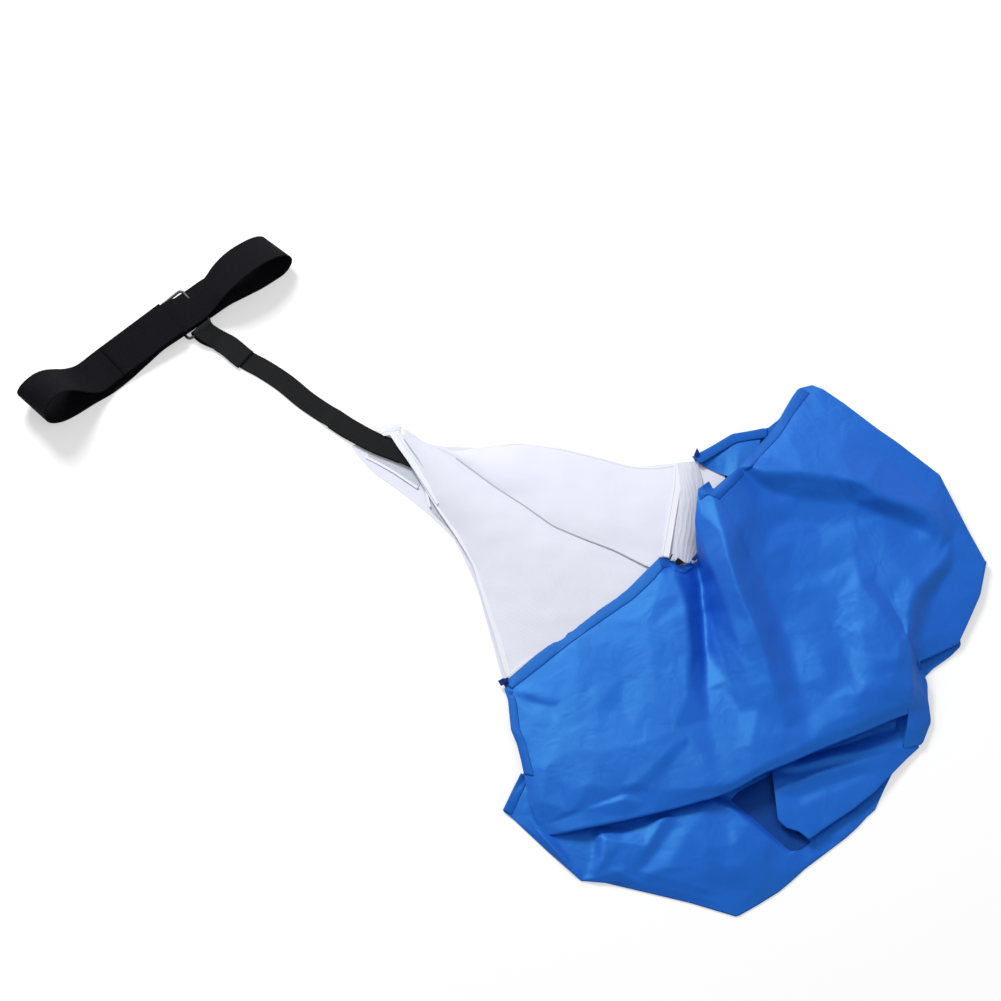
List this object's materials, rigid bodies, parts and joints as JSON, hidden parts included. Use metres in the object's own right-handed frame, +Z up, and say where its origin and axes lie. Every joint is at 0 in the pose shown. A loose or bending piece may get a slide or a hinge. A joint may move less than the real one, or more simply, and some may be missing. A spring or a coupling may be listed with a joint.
{
  "type": "speed parachute",
  "caption": "Sprint-training parachute lying collapsed: closed waist belt, ring, webbing tether, white mesh cone and blue fabric canopy.",
  "frame": {"origin": "on the floor under the middle of the object as it lies", "axes": "+X to the right, from the belt towards the canopy; +Y to the back; +Z up from the floor"},
  "size_m": [1.107, 0.8746, 0.0592],
  "materials": {
    "black_webbing": "matte woven webbing",
    "black_hook": "fine moulded hooks",
    "grey_metal": "satin light grey",
    "white_mesh": "fine open mesh",
    "white_tape": "matte woven binding",
    "blue_taffeta": "thin glossy taffeta",
    "blue_tape": "matte cord"
  },
  "bodies": {
    "chute": {"tether_webbing": "black_webbing", "tether_backing": "black_webbing", "mesh_panel_front": "white_mesh", "mesh_panel_upper": "white_mesh", "mesh_panel_lower": "white_mesh", "mesh_panel_back": "white_mesh", "seam_tape_left": "white_tape", "seam_tape_front": "white_tape", "seam_tape_right": "white_tape", "seam_tape_under": "white_tape", "hem_tape_front": "white_tape", "hem_tape_upper": "white_tape", "hem_tape_lower": "white_tape", "hem_tape_back": "white_tape", "neck_tape_upper": "white_tape", "neck_tape_lower": "white_tape", "canopy": "blue_taffeta", "canopy_hem_upper": "blue_taffeta", "canopy_hem_lower": "blue_taffeta", "corner_tie_left": "blue_tape", "corner_tie_front": "blue_tape", "corner_tie_right": "blue_tape", "corner_tie_under": "blue_tape"},
    "ring": {"belt_ring": "grey_metal"},
    "belt": {"belt_webbing": "black_webbing", "belt_loop_strip": "black_webbing"},
    "tongue": {"belt_tongue": "black_webbing", "belt_hook_strip": "black_hook"}
  },
  "joints": [
    {"name": "ring_swing", "type": "hinge", "parent": "chute", "child": "ring", "pos_m": [-0.3481, 0.3074, 0.00585], "axis": [0.766, 0.6428, 0], "range_deg": [0, 90]},
    {"name": "belt_slide", "type": "slide", "parent": "ring", "child": "belt", "axis": [0.766, 0.6428, 0], "range_m": [-0.025, 0.025]},
    {"name": "tongue_peel", "type": "hinge", "parent": "belt", "child": "tongue", "pos_m": [-0.43455, 0.24315, 0.00838], "axis": [0.6428, -0.766, 0], "range_deg": [0, 110]}
  ]
}
